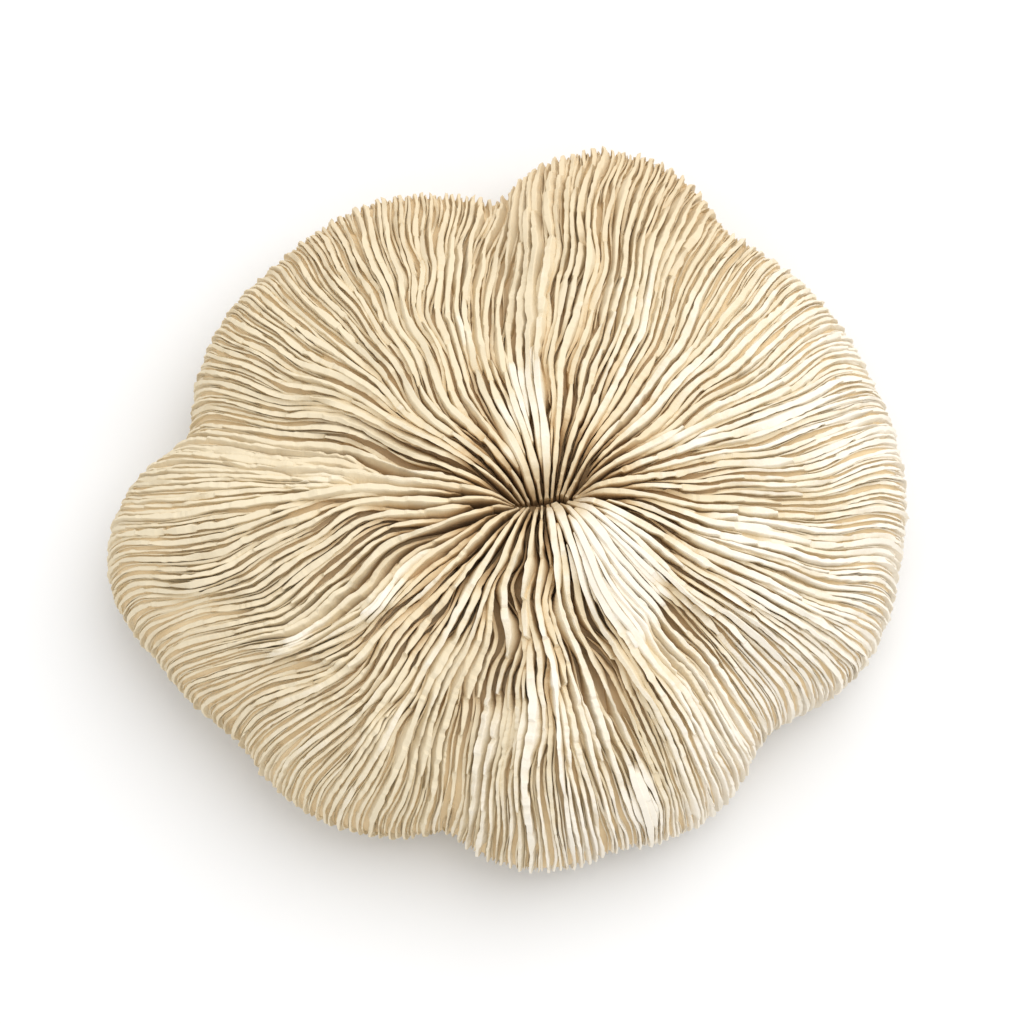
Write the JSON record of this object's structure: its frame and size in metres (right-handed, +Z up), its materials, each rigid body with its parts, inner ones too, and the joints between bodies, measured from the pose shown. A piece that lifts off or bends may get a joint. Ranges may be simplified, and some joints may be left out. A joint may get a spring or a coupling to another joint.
{
  "type": "mushroom coral",
  "caption": "Bleached mushroom coral skeleton: a low lobed dome of thin radiating plates that spring from a short slit mouth, hollow and scarred underneath.",
  "frame": {"origin": "middle of the bounding box on the resting plane", "axes": "+Z up through the mouth side, +X along the longest width, +Y towards the lobe opposite the front"},
  "size_m": [0.1317, 0.1223, 0.0411],
  "materials": {
    "limestone": "bleached coral limestone, chalky and dry, cream on the plates' crests and tan between them"
  },
  "bodies": {
    "root": {"corallum": "limestone"}
  },
  "joints": []
}
